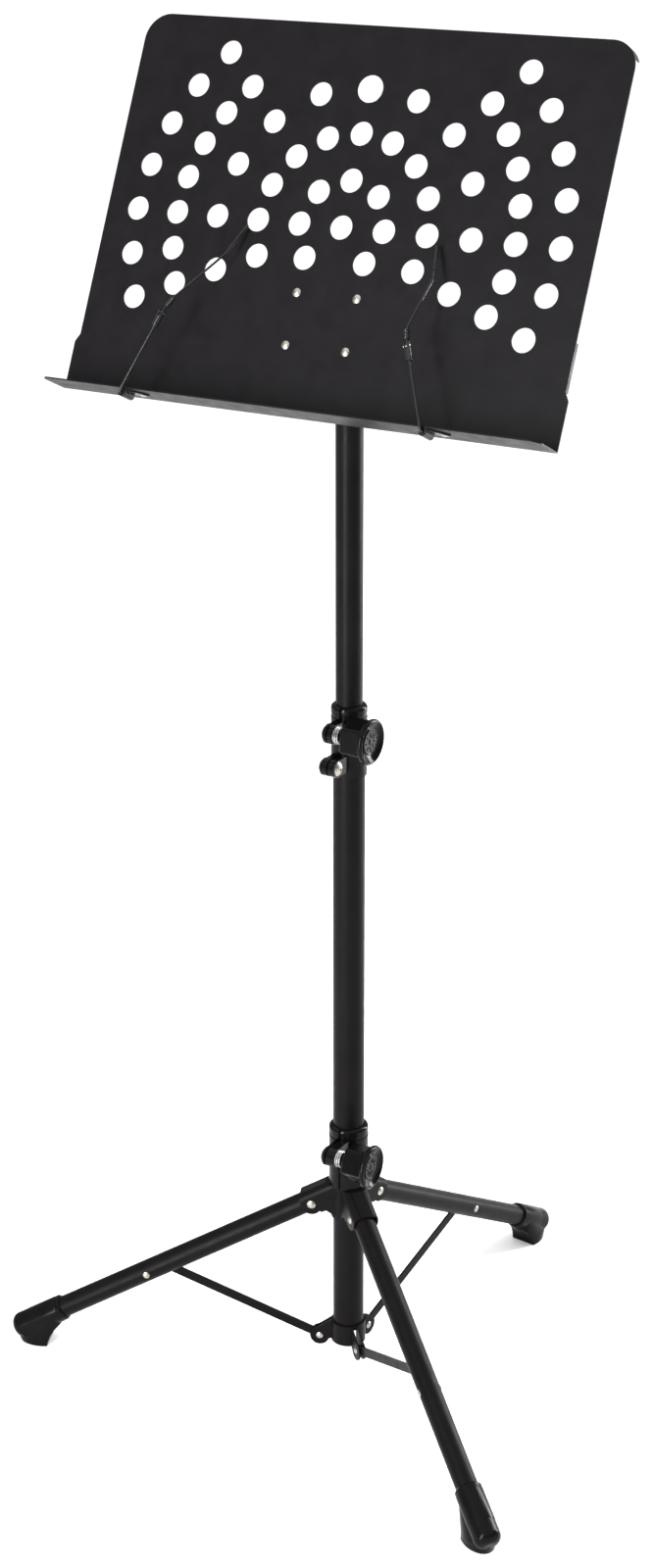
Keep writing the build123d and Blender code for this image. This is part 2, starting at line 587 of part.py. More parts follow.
def make_bottom_ring():
    """Stamped ring pressed on the pole's foot, with three pairs of fork cheeks."""
    outer = FORK_GAP / 2 + FORK_CHEEK
    shape = Pos(0, 0, RING_BOTTOM) * Cylinder(
        RING_RADIUS, RING_TOP - RING_BOTTOM, align=(Align.CENTER, Align.CENTER, Align.MIN))
    outline = leg_plane_face([
        (LOWER_RADIUS + 1, RING_TOP), (RING_PIN_R + 1.5, RING_PIN_Z + FORK_LOBE_RADIUS),
        (RING_PIN_R, RING_PIN_Z - 1), (22.0, 28.5), (LOWER_RADIUS + 1, RING_BOTTOM)])
    fork = extrude(outline, outer, both=True)
    fork = fork + cross_bar(FORK_LOBE_RADIUS, outer, RING_PIN_R, RING_PIN_Z)
    gap = Pos(LOWER_RADIUS - 2 + 20, 0, RING_BOTTOM) * Box(40, FORK_GAP, 2 * (RING_TOP - 3 - RING_BOTTOM))
    hole = cross_bar(BRACE_PIN_RADIUS, 20, RING_PIN_R, RING_PIN_Z)
    for number in range(1, LEG_COUNT + 1):
        shape = shape + turned(fork, number)
    for number in range(1, LEG_COUNT + 1):
        shape = shape - turned(gap, number) - turned(hole, number)
    clear_top = Pos(LOWER_RADIUS + 22, 0, RING_TOP) * Box(40, FORK_GAP, 20)
    for number in range(1, LEG_COUNT + 1):
        shape = shape - turned(clear_top, number)
    bore = Cylinder(LOWER_RADIUS, RING_TOP, align=(Align.CENTER, Align.CENTER, Align.MIN))
    lip = Cylinder(LOWER_RADIUS - TUBE_WALL, RING_TOP + 1, align=(Align.CENTER, Align.CENTER, Align.MIN))
    return shape - Pos(0, 0, RING_BOTTOM + 1) * bore - lip


def make_ring_rivets():
    """A stub rivet in each fork cheek; the brace's eye lies free between the pair."""
    inner = FORK_GAP / 2
    outer = inner + FORK_CHEEK
    stubs = []
    for side in (1, -1):
        shank = rod_between((RING_PIN_R, side * inner, RING_PIN_Z), (RING_PIN_R, side * outer, RING_PIN_Z),
                            BRACE_PIN_RADIUS)
        head = Plane(origin=(RING_PIN_R, side * outer, RING_PIN_Z), z_dir=(0, side, 0)) * domed_head(3.4, 1.3)
        stubs.append(shank + head)
    return group([turned(stub, number) for number in range(1, LEG_COUNT + 1) for stub in stubs])


# --- tilt joint behind the desk ---------------------------------------------------

def make_tilt_head():
    cap = tube(TILT_CAP_RADIUS, UPPER_RADIUS, UPPER_TOP - 14, UPPER_TOP)
    crown = Pos(0, 0, UPPER_TOP) * Cylinder(
        TILT_CAP_RADIUS, 8, align=(Align.CENTER, Align.CENTER, Align.MIN))
    crown = fillet(crown.edges().group_by(Axis.Z)[-1], 2.0)
    half = EAR_INNER_X - 0.4
    barrel = x_bar(TILT_BARREL_RADIUS, -half, half, 0, TILT_PIVOT_Z)
    spigot = Pos(0, 0, UPPER_TOP) * Cylinder(
        UPPER_RADIUS - TUBE_WALL, 16, align=(Align.CENTER, Align.CENTER, Align.MAX))
    head = cap + crown + barrel + spigot
    return head - x_bar(BOLT_RADIUS, -30, 30, 0, TILT_PIVOT_Z)


def make_tilt_bolt():
    outer = EAR_INNER_X + BRACKET_SHEET + 0.3
    shank = x_bar(BOLT_RADIUS, -outer, outer + 14, 0, TILT_PIVOT_Z)
    head = Plane(origin=(-outer, 0, TILT_PIVOT_Z), z_dir=(-1, 0, 0)) * domed_head(7.0, 3.5)
    return shank + head


def make_tilt_washers():
    outer = EAR_INNER_X + BRACKET_SHEET + 0.3
    return group(washer_stack(0, TILT_PIVOT_Z, outer, 1))


def make_tilt_knob():
    start = EAR_INNER_X + BRACKET_SHEET + 0.3 + WASHER_PITCH + KNOB_CLEARANCE
    return knob(start, 0, TILT_PIVOT_Z, TILT_KNOB, 0)


def make_desk_bracket():
    """U bracket: a plate riveted to the desk's back, and two ears round the tilt head."""
    back = -DESK_SHEET
    height = BRACKET_TOP - BRACKET_BOTTOM
    plate = Pos(0, (BRACKET_TOP + BRACKET_BOTTOM) / 2, back - BRACKET_SHEET / 2) * Box(
        2 * BRACKET_HALF_WIDTH, height, BRACKET_SHEET)
    plate = fillet(plate.edges().filter_by(Axis.Z), 8.0)
    pivot_y = -PATTERN_UP
    pivot_z = -DESK_STANDOFF
    profile = Plane.YZ * make_face(Polyline(
        (pivot_y + 16, back - 1), (pivot_y + TILT_EAR_RADIUS, pivot_z), (pivot_y - TILT_EAR_RADIUS, pivot_z),
        (pivot_y - 36, back - 1), close=True))
    ear = extrude(profile, BRACKET_SHEET)
    ear = ear + x_bar(TILT_EAR_RADIUS, 0, BRACKET_SHEET, pivot_y, pivot_z)
    shape = plate + Pos(EAR_INNER_X, 0, 0) * ear + Pos(-EAR_INNER_X - BRACKET_SHEET, 0, 0) * ear
    shape = shape - x_bar(BOLT_RADIUS + RUN_GAP, -40, 40, pivot_y, pivot_z)
    for x in (-DESK_RIVET_X, DESK_RIVET_X):
        for y in DESK_RIVET_YS:
            shape = shape - Pos(x, y, back) * Cylinder(DESK_RIVET_RADIUS, 10)
    return desk_plane() * shape


# --- desk -----------------------------------------------------------------------

def hole_centres():
    centres = []
    for ring, angles in HOLE_RINGS.items():
        for angle in angles:
            a = radians(angle)
            centres.append((ring * RING_PITCH * cos(a), ring * RING_PITCH * sin(a)))
    return centres


def desk_outline():
    """The upper sheet, up to its top corners, as a flat face."""
    middle = (DESK_TOP + DESK_BOTTOM) / 2
    face = Pos(0, middle) * Rectangle(2 * DESK_HALF_WIDTH, DESK_TOP - DESK_BOTTOM)
    return fillet(face.vertices().group_by(Axis.Y)[-1], DESK_CORNER_RADIUS)


def make_desk_panel():
    sheet = desk_outline()
    foot = make_face(Polyline(
        (-DESK_FOOT_HALF_WIDTH, DESK_BOTTOM), (DESK_FOOT_HALF_WIDTH, DESK_BOTTOM),
        (DESK_FOOT_HALF_WIDTH, DESK_STEP_BOTTOM), (DESK_HALF_WIDTH, DESK_STEP_TOP),
        (-DESK_HALF_WIDTH, DESK_STEP_TOP), (-DESK_FOOT_HALF_WIDTH, DESK_STEP_BOTTOM), close=True))
    holes = Sketch() + [Pos(x, y) * Circle(HOLE_DIAMETER / 2) for x, y in hole_centres()]
    rivet_holes = Sketch() + [
        Pos(x, y) * Circle(DESK_RIVET_RADIUS) for x in (-DESK_RIVET_X, DESK_RIVET_X) for y in DESK_RIVET_YS]
    plate = extrude(sheet + foot - holes - rivet_holes, -DESK_SHEET)
    # the folded edge runs along the top and round both corners
    rim = sheet - offset(sheet, -DESK_SHEET)
    rim = rim & Pos(0, TOP_FOLD_END + 50) * Rectangle(3 * DESK_HALF_WIDTH, 100)
    fold = extrude(rim, -TOP_FOLD_DEPTH)
    tab_height = SIDE_TAB_TOP - DESK_STEP_TOP
    tab = Pos(0, (SIDE_TAB_TOP + DESK_STEP_TOP) / 2, -SIDE_TAB_DEPTH / 2) * Box(
        DESK_SHEET, tab_height, SIDE_TAB_DEPTH)
    reach = DESK_HALF_WIDTH - DESK_SHEET / 2
    tabs = Pos(reach, 0, 0) * tab + Pos(-reach, 0, 0) * tab
    # the ledge is bent forward from the bottom edge
    ledge_face = Pos(0, LEDGE_DEPTH / 2) * Rectangle(2 * DESK_FOOT_HALF_WIDTH, LEDGE_DEPTH)
    ledge_face = fillet(ledge_face.vertices().group_by(Axis.Y)[-1], LEDGE_CORNER_RADIUS)
    ledge = extrude(Plane(origin=(0, DESK_BOTTOM, 0), x_dir=(-1, 0, 0), z_dir=(0, 1, 0)) * ledge_face, DESK_SHEET)
    heel = Pos(0, DESK_BOTTOM + DESK_SHEET / 2, -DESK_SHEET / 2) * Box(
        2 * DESK_FOOT_HALF_WIDTH, DESK_SHEET, DESK_SHEET)
    bent = plate + heel + ledge
    outer_bend = bent.edges().filter_by(Axis.X).filter_by_position(
        Axis.Y, DESK_BOTTOM - 0.01, DESK_BOTTOM + 0.01).filter_by_position(
        Axis.Z, -DESK_SHEET - 0.01, -DESK_SHEET + 0.01)
    bent = fillet(outer_bend, BEND_RADIUS)
    inner_bend = bent.edges().filter_by(Axis.X).filter_by_position(
        Axis.Y, DESK_BOTTOM + DESK_SHEET - 0.01, DESK_BOTTOM + DESK_SHEET + 0.01).filter_by_position(
        Axis.Z, -0.01, 0.01)
    bent = fillet(inner_bend, BEND_RADIUS - DESK_SHEET)
    panel = bent + fold + tabs
    for name in PAGE_HOLDERS:
        panel = panel - clip_rivet_hole(name)
    return desk_plane() * panel


def make_badge():
    disc = Cylinder(BADGE_RADIUS, 1.2, align=(Align.CENTER, Align.CENTER, Align.MIN))
    disc = chamfer(disc.edges().group_by(Axis.Z)[-1], 0.4)
    ring = Cylinder(BADGE_RADIUS - 1.6, 1.7, align=(Align.CENTER, Align.CENTER, Align.MIN)) - Cylinder(
        BADGE_RADIUS - 2.4, 1.7, align=(Align.CENTER, Align.CENTER, Align.MIN))
    badge = disc + ring
    return desk_plane() * (Pos(0, BADGE_Y, 0) * badge)


def make_desk_rivets():
    rivets = []
    back = -DESK_SHEET - BRACKET_SHEET
    for x in (-DESK_RIVET_X, DESK_RIVET_X):
        for y in DESK_RIVET_YS:
            shank = Pos(x, y, back) * Cylinder(
                DESK_RIVET_RADIUS, -back, align=(Align.CENTER, Align.CENTER, Align.MIN))
            front = Pos(x, y, 0) * domed_head(3.9, 1.4)
            rear = Plane(origin=(x, y, back), z_dir=(0, 0, -1)) * domed_head(3.2, 1.2)
            rivets.append(shank + front + rear)
    return group([desk_plane() * rivet for rivet in rivets])


# --- page holders ------------------------------------------------------------------

def clip_rivet_spot(name):
    """Where the clip's rivet goes through the ledge: (x, z) in the desk's directions."""
    return (PAGE_HOLDERS[name]["foot"][0] + 12.0, 23.0)


def clip_rivet_hole(name):
    x, z = clip_rivet_spot(name)
    return rod_between((x, DESK_BOTTOM - 5, z), (x, DESK_BOTTOM + 5, z), CLIP_RIVET_RADIUS)


def make_page_clip(name):
    """Clip under the ledge: a barrel for the rod's foot, and a riveted tongue beside it."""
    x, y = PAGE_HOLDERS[name]["foot"]
    barrel = rod_between((x, y, 23), (x, y, 39.5), 3.4)
    block = Pos(x, (y + DESK_BOTTOM) / 2, 31.2) * Box(6.8, DESK_BOTTOM - y, 16.6)
    spot_x, spot_z = clip_rivet_spot(name)
    eye = rod_between((spot_x, DESK_BOTTOM - CLIP_SHEET, spot_z), (spot_x, DESK_BOTTOM, spot_z), 5.5)
    strap_face = Plane(origin=(0, DESK_BOTTOM, 0), x_dir=(1, 0, 0), z_dir=(0, -1, 0)) * make_face(Polyline(
        (x - 3.4, 39.5), (x + 3.4, 39.5), (spot_x + 5.0, 26.0), (spot_x - 3.0, 18.5),
        (x - 3.4, 27.0), close=True))
    clip = barrel + block + eye + extrude(strap_face, CLIP_SHEET)
    clip = clip - rod_between((x, y, 10), (x, y, 50), ROD_RADIUS + RUN_GAP)
    return desk_plane() * (clip - clip_rivet_hole(name))


def make_page_clip_rivets():
    rivets = []
    low = DESK_BOTTOM - CLIP_SHEET
    high = DESK_BOTTOM + DESK_SHEET
    for name in PAGE_HOLDERS:
        x, z = clip_rivet_spot(name)
        shank = rod_between((x, low, z), (x, high, z), CLIP_RIVET_RADIUS)
        top = Plane(origin=(x, high, z), z_dir=(0, 1, 0)) * domed_head(2.8, 1.0)
        foot = Plane(origin=(x, low, z), z_dir=(0, -1, 0)) * domed_head(2.8, 1.0)
        rivets.append(desk_plane() * (shank + top + foot))
    return group(rivets)


def rod_direction(name):
    holder = PAGE_HOLDERS[name]
    return (Vector(*holder["elbow"]) - Vector(*holder["foot"])).normalized()


def lift_axis(name):
    """Elbow hinge axis: square to the rod, and parallel to the desk."""
    along = rod_direction(name)
    return Vector(along.Y, -along.X, 0)


def make_page_rod(name):
    """Bent wire: a foot in the clip's barrel, an upright, and a forked ferrule on its end."""
    holder = PAGE_HOLDERS[name]
    x, y = holder["foot"]
    elbow = Vector(*holder["elbow"], ROD_DEPTH)
    along = rod_direction(name)
    base = elbow - along * 10
    path = FilletPolyline((x, y, 22.6), (x, y, ROD_DEPTH), tuple(base), radius=2.8)
    wire = sweep(Plane(origin=(x, y, 22.6), z_dir=(0, 0, 1)) * Circle(ROD_RADIUS), path=path)
    stop = rod_between((x, y, 20.8), (x, y, 22.6), 2.2)
    start = elbow - along * 13
    end = elbow + along * 2.6
    ferrule = rod_between(tuple(start), tuple(end), 2.9)
    side = lift_axis(name)
    slot_place = Plane(origin=elbow, x_dir=along, z_dir=side)
    slot = slot_place * Box(6.4, 10, 2.3)
    slot = slot.translate(along * 0.4)
    hole = rod_between(tuple(elbow - side * 5), tuple(elbow + side * 5), 0.7)
    return desk_plane() * (wire + stop + ferrule - slot - hole)


def make_page_pin(name):
    elbow = Vector(*PAGE_HOLDERS[name]["elbow"], ROD_DEPTH)
    side = lift_axis(name)
    return desk_plane() * rod_between(tuple(elbow - side * 3.3), tuple(elbow + side * 3.3), 0.7)


def make_page_arm(name):
    """Spring wire arm: an eye on the elbow pin, a close coil, and a wire bent flat to the desk."""
    holder = PAGE_HOLDERS[name]
    elbow = Vector(*holder["elbow"], ROD_DEPTH)
    along = rod_direction(name)
    bend = Vector(*holder["bend"])
    tip = Vector(*holder["tip"])
    side = lift_axis(name)
    slope = radians(18)
    lean = along * cos(slope) - Vector(0, 0, 1) * sin(slope)
    coil_end = elbow + lean * 18
    path = FilletPolyline(tuple(elbow), tuple(coil_end), tuple(bend), tuple(tip), radius=8.0)
    wire = sweep(Plane(origin=elbow, z_dir=lean) * Circle(ARM_RADIUS), path=path)
    flat = rod_between(tuple(elbow - side * 5), tuple(elbow + side * 5), 6.0)
    thin = rod_between(tuple(elbow - side * 0.8), tuple(elbow + side * 0.8), 6.0)
    wire = wire - (flat - thin)
    eye = rod_between(tuple(elbow - side * 0.8), tuple(elbow + side * 0.8), 2.3)
    sleeve = rod_between(tuple(elbow + lean * 7.0), tuple(elbow + lean * 16.0), 1.5)
    arm = wire + eye + sleeve
    for i in range(6):
        centre = elbow + lean * (7.5 + 1.6 * i)
        arm = arm + Plane(origin=centre, z_dir=lean) * Torus(1.5, 0.75)
    arm = arm - rod_between(tuple(elbow - side * 5), tuple(elbow + side * 5), 0.7 + RUN_GAP)
    cap_start = tip - (tip - bend).normalized() * 22
    arm = arm - (rod_between(tuple(cap_start), tuple(tip + (tip - bend).normalized() * 2), 1.6)
                 - rod_between(tuple(cap_start - (tip - bend).normalized()), tuple(tip), ARM_RADIUS - 0.15))
    return desk_plane() * arm


def make_page_tip(name):
    """Soft sleeve over the last stretch of the arm, closed by a small button."""
    holder = PAGE_HOLDERS[name]
    bend = Vector(*holder["bend"])
    tip = Vector(*holder["tip"])
    along = (tip - bend).normalized()
    start = tip - along * 22
    sleeve = rod_between(tuple(start), tuple(tip + along * 2), 1.6)
    button = Pos(*tuple(tip + along * 2)) * Sphere(1.9)
    bore = rod_between(tuple(start - along), tuple(tip), ARM_RADIUS - 0.15)
    return desk_plane() * (sleeve + button - bore)


# --- the whole stand -------------------------------------------------------------

def all_parts():
    parts = {
        "lower_tube": make_lower_tube(),
        "pole_plug": make_pole_plug(),
        "bottom_ring": make_bottom_ring(),
        "ring_rivets": make_ring_rivets(),
        "mid_collar": make_mid_collar(),
        "mid_bolt": make_clamp_bolt(MID_CLAMP),
        "mid_nut": make_clamp_nut(MID_CLAMP),
        "mid_washers": make_clamp_washers(MID_CLAMP),
        "mid_knob": make_clamp_knob(MID_CLAMP, MID_KNOB_PHASE),
        "collar_screw": make_collar_screw(),
        "collar_nut": make_collar_nut(),
        "hub_spider": make_hub_spider(),
        "hub_collar": make_hub_collar(),
        "hub_bolt": make_clamp_bolt(HUB_CLAMP),
        "hub_nut": make_clamp_nut(HUB_CLAMP),
        "hub_washers": make_clamp_washers(HUB_CLAMP),
        "hub_knob": make_clamp_knob(HUB_CLAMP, HUB_KNOB_PHASE),
        "hub_rivets": make_hub_rivets(),
        "guide_bush": make_guide_bush(),
        "upper_tube": make_upper_tube(),
        "upper_plug": make_upper_plug(),
        "tilt_head": make_tilt_head(),
        "tilt_bolt": make_tilt_bolt(),
        "tilt_washers": make_tilt_washers(),
        "tilt_knob": make_tilt_knob(),
        "desk_bracket": make_desk_bracket(),
        "desk_rivets": make_desk_rivets(),
        "desk_panel": make_desk_panel(),
        "badge": make_badge(),
        "page_clip_rivets": make_page_clip_rivets(),
    }
    leg_pieces = {
        "leg_tube": make_leg_tube(), "leg_foot": make_leg_foot(),
        "leg_pin": make_leg_pin(), "brace": make_brace(),
    }
    for name, shape in leg_pieces.items():
        for number, placed in enumerate(on_each_leg(shape), start=1):
            parts[f"{name}_{number}"] = placed
    for side in PAGE_HOLDERS:
        parts[f"page_clip_{side}"] = make_page_clip(side)
        parts[f"page_rod_{side}"] = make_page_rod(side)
        parts[f"page_pin_{side}"] = make_page_pin(side)
        parts[f"page_arm_{side}"] = make_page_arm(side)
        parts[f"page_tip_{side}"] = make_page_tip(side)
    return parts


os.makedirs("parts", exist_ok=True)
for node, shape in all_parts().items():
    export_step(shape, f"parts/{node}.step")
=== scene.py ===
import json
import math

import bmesh
import bpy
from mathutils import Matrix, Vector


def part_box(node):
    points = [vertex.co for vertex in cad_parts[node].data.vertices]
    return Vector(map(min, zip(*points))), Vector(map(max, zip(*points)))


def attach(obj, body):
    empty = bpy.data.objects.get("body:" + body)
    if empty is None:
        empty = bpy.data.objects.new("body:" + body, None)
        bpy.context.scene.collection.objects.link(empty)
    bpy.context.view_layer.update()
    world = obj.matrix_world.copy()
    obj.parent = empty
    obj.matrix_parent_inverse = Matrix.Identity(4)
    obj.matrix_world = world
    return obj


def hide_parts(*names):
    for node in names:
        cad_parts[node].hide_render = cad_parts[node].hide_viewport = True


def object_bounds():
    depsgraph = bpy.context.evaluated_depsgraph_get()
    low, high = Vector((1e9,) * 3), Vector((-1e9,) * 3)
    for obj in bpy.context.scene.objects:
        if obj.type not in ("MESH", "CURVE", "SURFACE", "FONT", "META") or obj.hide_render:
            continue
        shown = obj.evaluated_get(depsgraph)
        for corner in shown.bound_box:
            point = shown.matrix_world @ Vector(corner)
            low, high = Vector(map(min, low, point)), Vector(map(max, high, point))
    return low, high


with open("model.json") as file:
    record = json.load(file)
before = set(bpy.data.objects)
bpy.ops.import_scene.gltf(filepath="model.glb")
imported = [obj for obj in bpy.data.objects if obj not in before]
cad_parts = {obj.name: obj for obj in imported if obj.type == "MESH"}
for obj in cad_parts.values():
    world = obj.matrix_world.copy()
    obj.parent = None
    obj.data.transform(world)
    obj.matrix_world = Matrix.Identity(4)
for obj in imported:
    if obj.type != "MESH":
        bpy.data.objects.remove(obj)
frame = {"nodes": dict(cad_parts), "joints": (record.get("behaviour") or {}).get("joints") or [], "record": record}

cad_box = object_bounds()

JOINTS = {j["name"]: j for j in frame["joints"]}
NODES = frame["nodes"]
SIDES = ("left", "right")
LEGS = (1, 2, 3)
UP = Vector((0, 0, 1))


# --- camera -----------------------------------------------------------------------------

CAMERA_PLACE = Vector((1.1864, -2.1352, 1.557))
CAMERA_HEADING = math.radians(29.547)    # turned left from looking along +Y
CAMERA_PITCH = math.radians(20.95)       # looking down
CAMERA_ROLL = math.radians(0.10)
CAMERA_LENS = 64.974                     # lens and sensor in millimetres
CAMERA_SENSOR = 36.0
CAMERA_REACH = 100.0


def make_camera():
    """A standing viewer in front of the stand and to its right."""
    turn = Matrix.Rotation(CAMERA_HEADING, 3, "Z")
    forward = turn @ Vector((0, math.cos(CAMERA_PITCH), -math.sin(CAMERA_PITCH)))
    right = turn @ Vector((1, 0, 0))
    down = forward.cross(right)
    x = math.cos(CAMERA_ROLL) * right + math.sin(CAMERA_ROLL) * down
    y = math.sin(CAMERA_ROLL) * right - math.cos(CAMERA_ROLL) * down
    data = bpy.data.cameras.new("camera")
    data.lens = CAMERA_LENS
    data.sensor_width = CAMERA_SENSOR
    data.clip_end = CAMERA_REACH
    camera = bpy.data.objects.new("camera", data)
    camera.matrix_world = Matrix.Translation(CAMERA_PLACE) @ Matrix((x, y, -forward)).transposed().to_4x4()
    bpy.context.scene.collection.objects.link(camera)
    bpy.context.scene.camera = camera


# --- materials --------------------------------------------------------------------------

NOISE_SPREAD = (0.3, 0.7)      # where nearly all of a noise's values lie
SCUFF_SPREAD = (0.66, 0.74)    # noise values between which a rubbed mark fades in
PEEL_GRAIN = 0.35              # depth of the fine grain over the orange peel, as a share of the peel's
FLOW_GRAIN = 0.12              # the same over the flow waves
TURNING_DEPTH = 0.000006


class Nodes:
    """Short hand for building one material's node tree."""

    def __init__(self, name):
        self.material = bpy.data.materials.new(name)
        self.material.use_nodes = True
        self.tree = self.material.node_tree
        self.shader = self.tree.nodes["Principled BSDF"]
        self.coords = self.add("ShaderNodeTexCoord").outputs["Object"]

    def add(self, kind, **settings):
        node = self.tree.nodes.new(kind)
        for key, value in settings.items():
            if hasattr(node, key):
                setattr(node, key, value)
            else:
                node.inputs[key].default_value = value
        return node

    def link(self, a, b):
        self.tree.links.new(a, b)

    def noise(self, scale, detail, stretch=None):
        node = self.add("ShaderNodeTexNoise", Scale=scale, Detail=detail)
        source = self.coords
        if stretch:
            mapping = self.add("ShaderNodeMapping")
            mapping.inputs["Scale"].default_value = stretch
            self.link(self.coords, mapping.inputs["Vector"])
            source = mapping.outputs["Vector"]
        self.link(source, node.inputs["Vector"])
        return node.outputs["Fac"]

    def map_range(self, value, spread, low=0.0, high=1.0):
        """A value carried over from one range to another."""
        node = self.add("ShaderNodeMapRange")
        node.inputs["From Min"].default_value = spread[0]
        node.inputs["From Max"].default_value = spread[1]
        node.inputs["To Min"].default_value = low
        node.inputs["To Max"].default_value = high
        self.link(value, node.inputs["Value"])
        return node.outputs["Result"]

    def two_tone(self, value, dark, light):
        ramp = self.add("ShaderNodeValToRGB")
        for element, colour, position in zip(ramp.color_ramp.elements, (dark, light), NOISE_SPREAD):
            element.color = (*colour, 1)
            element.position = position
        self.link(value, ramp.inputs["Fac"])
        self.link(ramp.outputs["Color"], self.shader.inputs["Base Color"])

    def bump(self, heights):
        """Bumps of (height value, depth in metres), laid one over another."""
        normal = None
        for value, depth in heights:
            node = self.add("ShaderNodeBump")
            node.inputs["Strength"].default_value = 1.0
            node.inputs["Distance"].default_value = depth
            self.link(value, node.inputs["Height"])
            if normal:
                self.link(normal, node.inputs["Normal"])
            normal = node.outputs["Normal"]
        self.link(normal, self.shader.inputs["Normal"])

    def rough(self, value, low, high):
        self.link(self.map_range(value, NOISE_SPREAD, low, high), self.shader.inputs["Roughness"])


def scuffs(n, stretch):
    """Sparse rubbed marks, 0 on clean paint and 1 in a mark."""
    return n.map_range(n.noise(scale=46.0, detail=6.0, stretch=stretch), SCUFF_SPREAD)


def worn_rough(n, value, low, high, marks, rise):
    """Roughness that wanders between low and high, and rises in the rubbed marks."""
    extra = n.add("ShaderNodeMath", operation="MULTIPLY_ADD")
    extra.inputs[1].default_value = rise
    n.link(marks, extra.inputs[0])
    n.link(n.map_range(value, NOISE_SPREAD, low, high), extra.inputs[2])
    n.link(extra.outputs["Value"], n.shader.inputs["Roughness"])


def coating(name, dark, light, rough, specular, peel):
    """Powder coat: fine orange peel, faint clouds in colour and gloss, and a few rubbed marks."""
    n = Nodes(name)
    n.two_tone(n.noise(scale=38.0, detail=4.0), dark, light)
    gloss = n.noise(scale=90.0, detail=2.0)
    worn_rough(n, gloss, *rough, marks=scuffs(n, (1.0, 1.0, 0.25)), rise=0.12)
    waves = n.noise(scale=950.0, detail=2.0)
    grain = n.noise(scale=3200.0, detail=1.0)
    n.bump([(waves, peel), (grain, peel * PEEL_GRAIN)])
    n.shader.inputs["Specular IOR Level"].default_value = specular
    return n.material


def moulded(name, dark, light, rough, specular, depth):
    """Moulded plastic or rubber: near even colour, slight flow waves and a few dull marks."""
    n = Nodes(name)
    n.two_tone(n.noise(scale=70.0, detail=3.0), dark, light)
    gloss = n.noise(scale=160.0, detail=3.0)
    worn_rough(n, gloss, *rough, marks=scuffs(n, (1.0, 0.6, 1.0)), rise=0.15)
    waves = n.noise(scale=120.0, detail=2.0)
    grain = n.noise(scale=2200.0, detail=2.0)
    n.bump([(waves, depth), (grain, depth * FLOW_GRAIN)])
    n.shader.inputs["Specular IOR Level"].default_value = specular
    return n.material


def plated(name, dark, light, rough, brush):
    """Bright plated steel with fine turning marks and faint tarnish."""
    n = Nodes(name)
    n.two_tone(n.noise(scale=260.0, detail=4.0), dark, light)
    gloss = n.noise(scale=700.0, detail=2.0, stretch=brush)
    worn_rough(n, gloss, *rough, marks=scuffs(n, (4.0, 4.0, 4.0)), rise=0.1)
    n.bump([(n.noise(scale=1500.0, detail=2.0, stretch=brush), TURNING_DEPTH)])
    n.shader.inputs["Metallic"].default_value = 1.0
    return n.material


def grey(value):
    return (value, value, value)


# dark and light colour, roughness span, specular level, and depth of the orange peel in metres
COATED = {
    "frame_paint": ((0.0026, 0.0022, 0.0025), (0.0038, 0.0033, 0.0036), (0.34, 0.44), 0.05, 0.00001),
    "desk_paint": ((0.0036, 0.0030, 0.0036), (0.0050, 0.0043, 0.0052), (0.40, 0.50), 0.08, 0.00001),
    "clip_paint": (grey(0.004), grey(0.006), (0.28, 0.36), 0.12, 0.00001),
    "wire_steel": (grey(0.006), grey(0.009), (0.18, 0.28), 0.3, 0.000004),
}
# the same, with the depth of the flow waves
MOULDED = {
    "clamp_plastic": ((0.0024, 0.0022, 0.0024), (0.0036, 0.0034, 0.0036), (0.10, 0.18), 0.07, 0.00001),
    "plug_plastic": (grey(0.007), grey(0.010), (0.38, 0.5), 0.2, 0.00002),
    "foot_rubber": ((0.0026, 0.0024, 0.0027), (0.0038, 0.0036, 0.0040), (0.14, 0.24), 0.05, 0.00001),
    "tip_rubber": (grey(0.006), grey(0.009), (0.32, 0.42), 0.2, 0.00001),
    "badge_print": ((0.36, 0.36, 0.37), (0.46, 0.46, 0.47), (0.3, 0.4), 0.5, 0.00001),
}
# dark and light colour, roughness span, and how far the turning marks are squeezed along x, y and z
PLATED = {
    "zinc_steel": ((0.26, 0.26, 0.25), (0.46, 0.46, 0.45), (0.16, 0.3), (1, 1, 6)),
    "rivet_nickel": ((0.26, 0.245, 0.215), (0.42, 0.40, 0.36), (0.3, 0.42), (1, 1, 1)),
}


def make_materials():
    """One material for each slot of the record, under the slot's name."""
    made = {}
    for make, finishes in ((coating, COATED), (moulded, MOULDED), (plated, PLATED)):
        for name, finish in finishes.items():
            made[name] = make(name, *finish)
    return made


MATERIALS = make_materials()


def dress(obj, slot):
    """Gives an object the finish of one of the record's slots."""
    obj.data.materials.clear()
    obj.data.materials.append(MATERIALS[slot])


def dress_cad_nodes():
    """Gives every CAD node the finish of its own slot."""
    for part in frame["record"]["subparts"]:
        node = NODES[part["node"]]
        for index in range(len(node.material_slots)):
            node.material_slots[index].material = MATERIALS[part["material_slot"]]


# --- mesh helpers -----------------------------------------------------------------------

SHARP_ANGLE = math.radians(35.0)
NEAR_UPRIGHT = 0.9       # rise of a unit axis from which +X, not +Z, is the helper direction
MERGE_DISTANCE = 1e-7
# share of the bar's radius and reach past its end, for the rings that draw an end in
BAR_TIP = ((0.35, 0.55), (0.8, 0.3), (1.0, 0.0))


